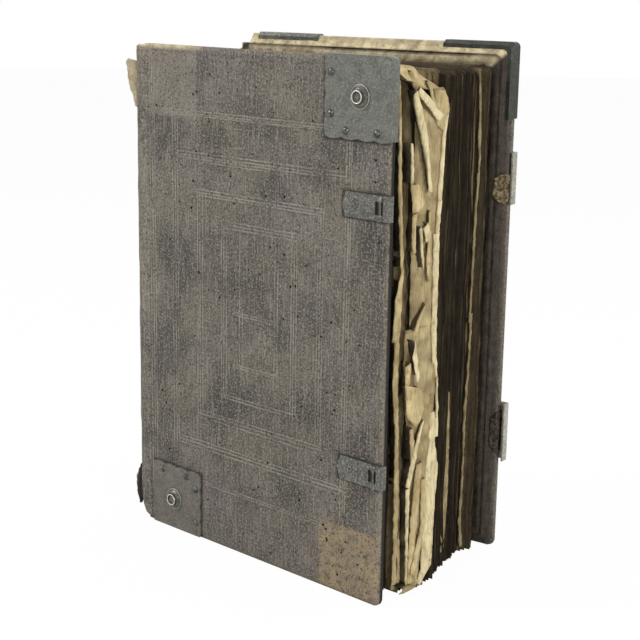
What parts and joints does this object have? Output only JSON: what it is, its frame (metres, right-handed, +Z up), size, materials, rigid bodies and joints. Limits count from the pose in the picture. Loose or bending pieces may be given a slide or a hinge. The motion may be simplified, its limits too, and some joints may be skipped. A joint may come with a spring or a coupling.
{
  "type": "antique leather-bound book",
  "caption": "Old folio in worn leather over bevelled wooden boards, with corner plates, bosses, clasp catches and a raised-band spine; both covers open.",
  "frame": {"origin": "middle of the tail of the leaves, on the surface the book stands on, midway between joints and front fore-edge", "axes": "+X from spine to fore-edge along the front cover, +Y from the front cover to the rear cover, +Z up from tail to head"},
  "size_m": [0.276, 0.1614, 0.3872],
  "materials": {
    "leaves": "aged, rough",
    "board": "raw oak",
    "cover_leather": "worn, matte",
    "pastedown": "stained, matte",
    "strap_leather": "torn, matte",
    "sewing_cord": "hemp",
    "endband": "linen thread over a core",
    "fittings": "dark patina"
  },
  "bodies": {
    "text_block_body": {"head_endband": "endband", "sewing_cord_1": "sewing_cord", "sewing_cord_2": "sewing_cord", "sewing_cord_3": "sewing_cord", "sewing_cord_4": "sewing_cord", "sewing_cord_5": "sewing_cord", "spine_leather": "cover_leather", "tail_endband": "endband", "text_block": "leaves"},
    "front_cover": {"front_board": "board", "front_head_boss": "fittings", "front_head_corner": "fittings", "front_head_nails": "fittings", "front_leather": "cover_leather", "front_pastedown": "pastedown", "front_tail_boss": "fittings", "front_tail_corner": "fittings", "front_tail_nails": "fittings", "lower_catch_pin": "fittings", "lower_catch_plate": "fittings", "lower_catch_rivets": "fittings", "upper_catch_pin": "fittings", "upper_catch_plate": "fittings", "upper_catch_rivets": "fittings"},
    "rear_cover": {"lower_anchor_nails": "fittings", "lower_strap_anchor": "fittings", "lower_strap_stub": "strap_leather", "rear_board": "board", "rear_head_fore_boss": "fittings", "rear_head_fore_corner": "fittings", "rear_head_fore_nails": "fittings", "rear_head_spine_boss": "fittings", "rear_head_spine_corner": "fittings", "rear_head_spine_nails": "fittings", "rear_leather": "cover_leather", "rear_pastedown": "pastedown", "upper_anchor_nails": "fittings", "upper_strap_anchor": "fittings", "upper_strap_stub": "strap_leather"}
  },
  "joints": [
    {"name": "front_joint", "type": "hinge", "parent": "text_block_body", "child": "front_cover", "pos_m": [-0.12215, -0.0618, 0.19], "axis": [0, 0, -1], "range_deg": [0, 180]},
    {"name": "rear_joint", "type": "hinge", "parent": "text_block_body", "child": "rear_cover", "pos_m": [-0.12215, 0.0618, 0.19], "axis": [0, 0, 1], "range_deg": [0, 171.8]}
  ]
}
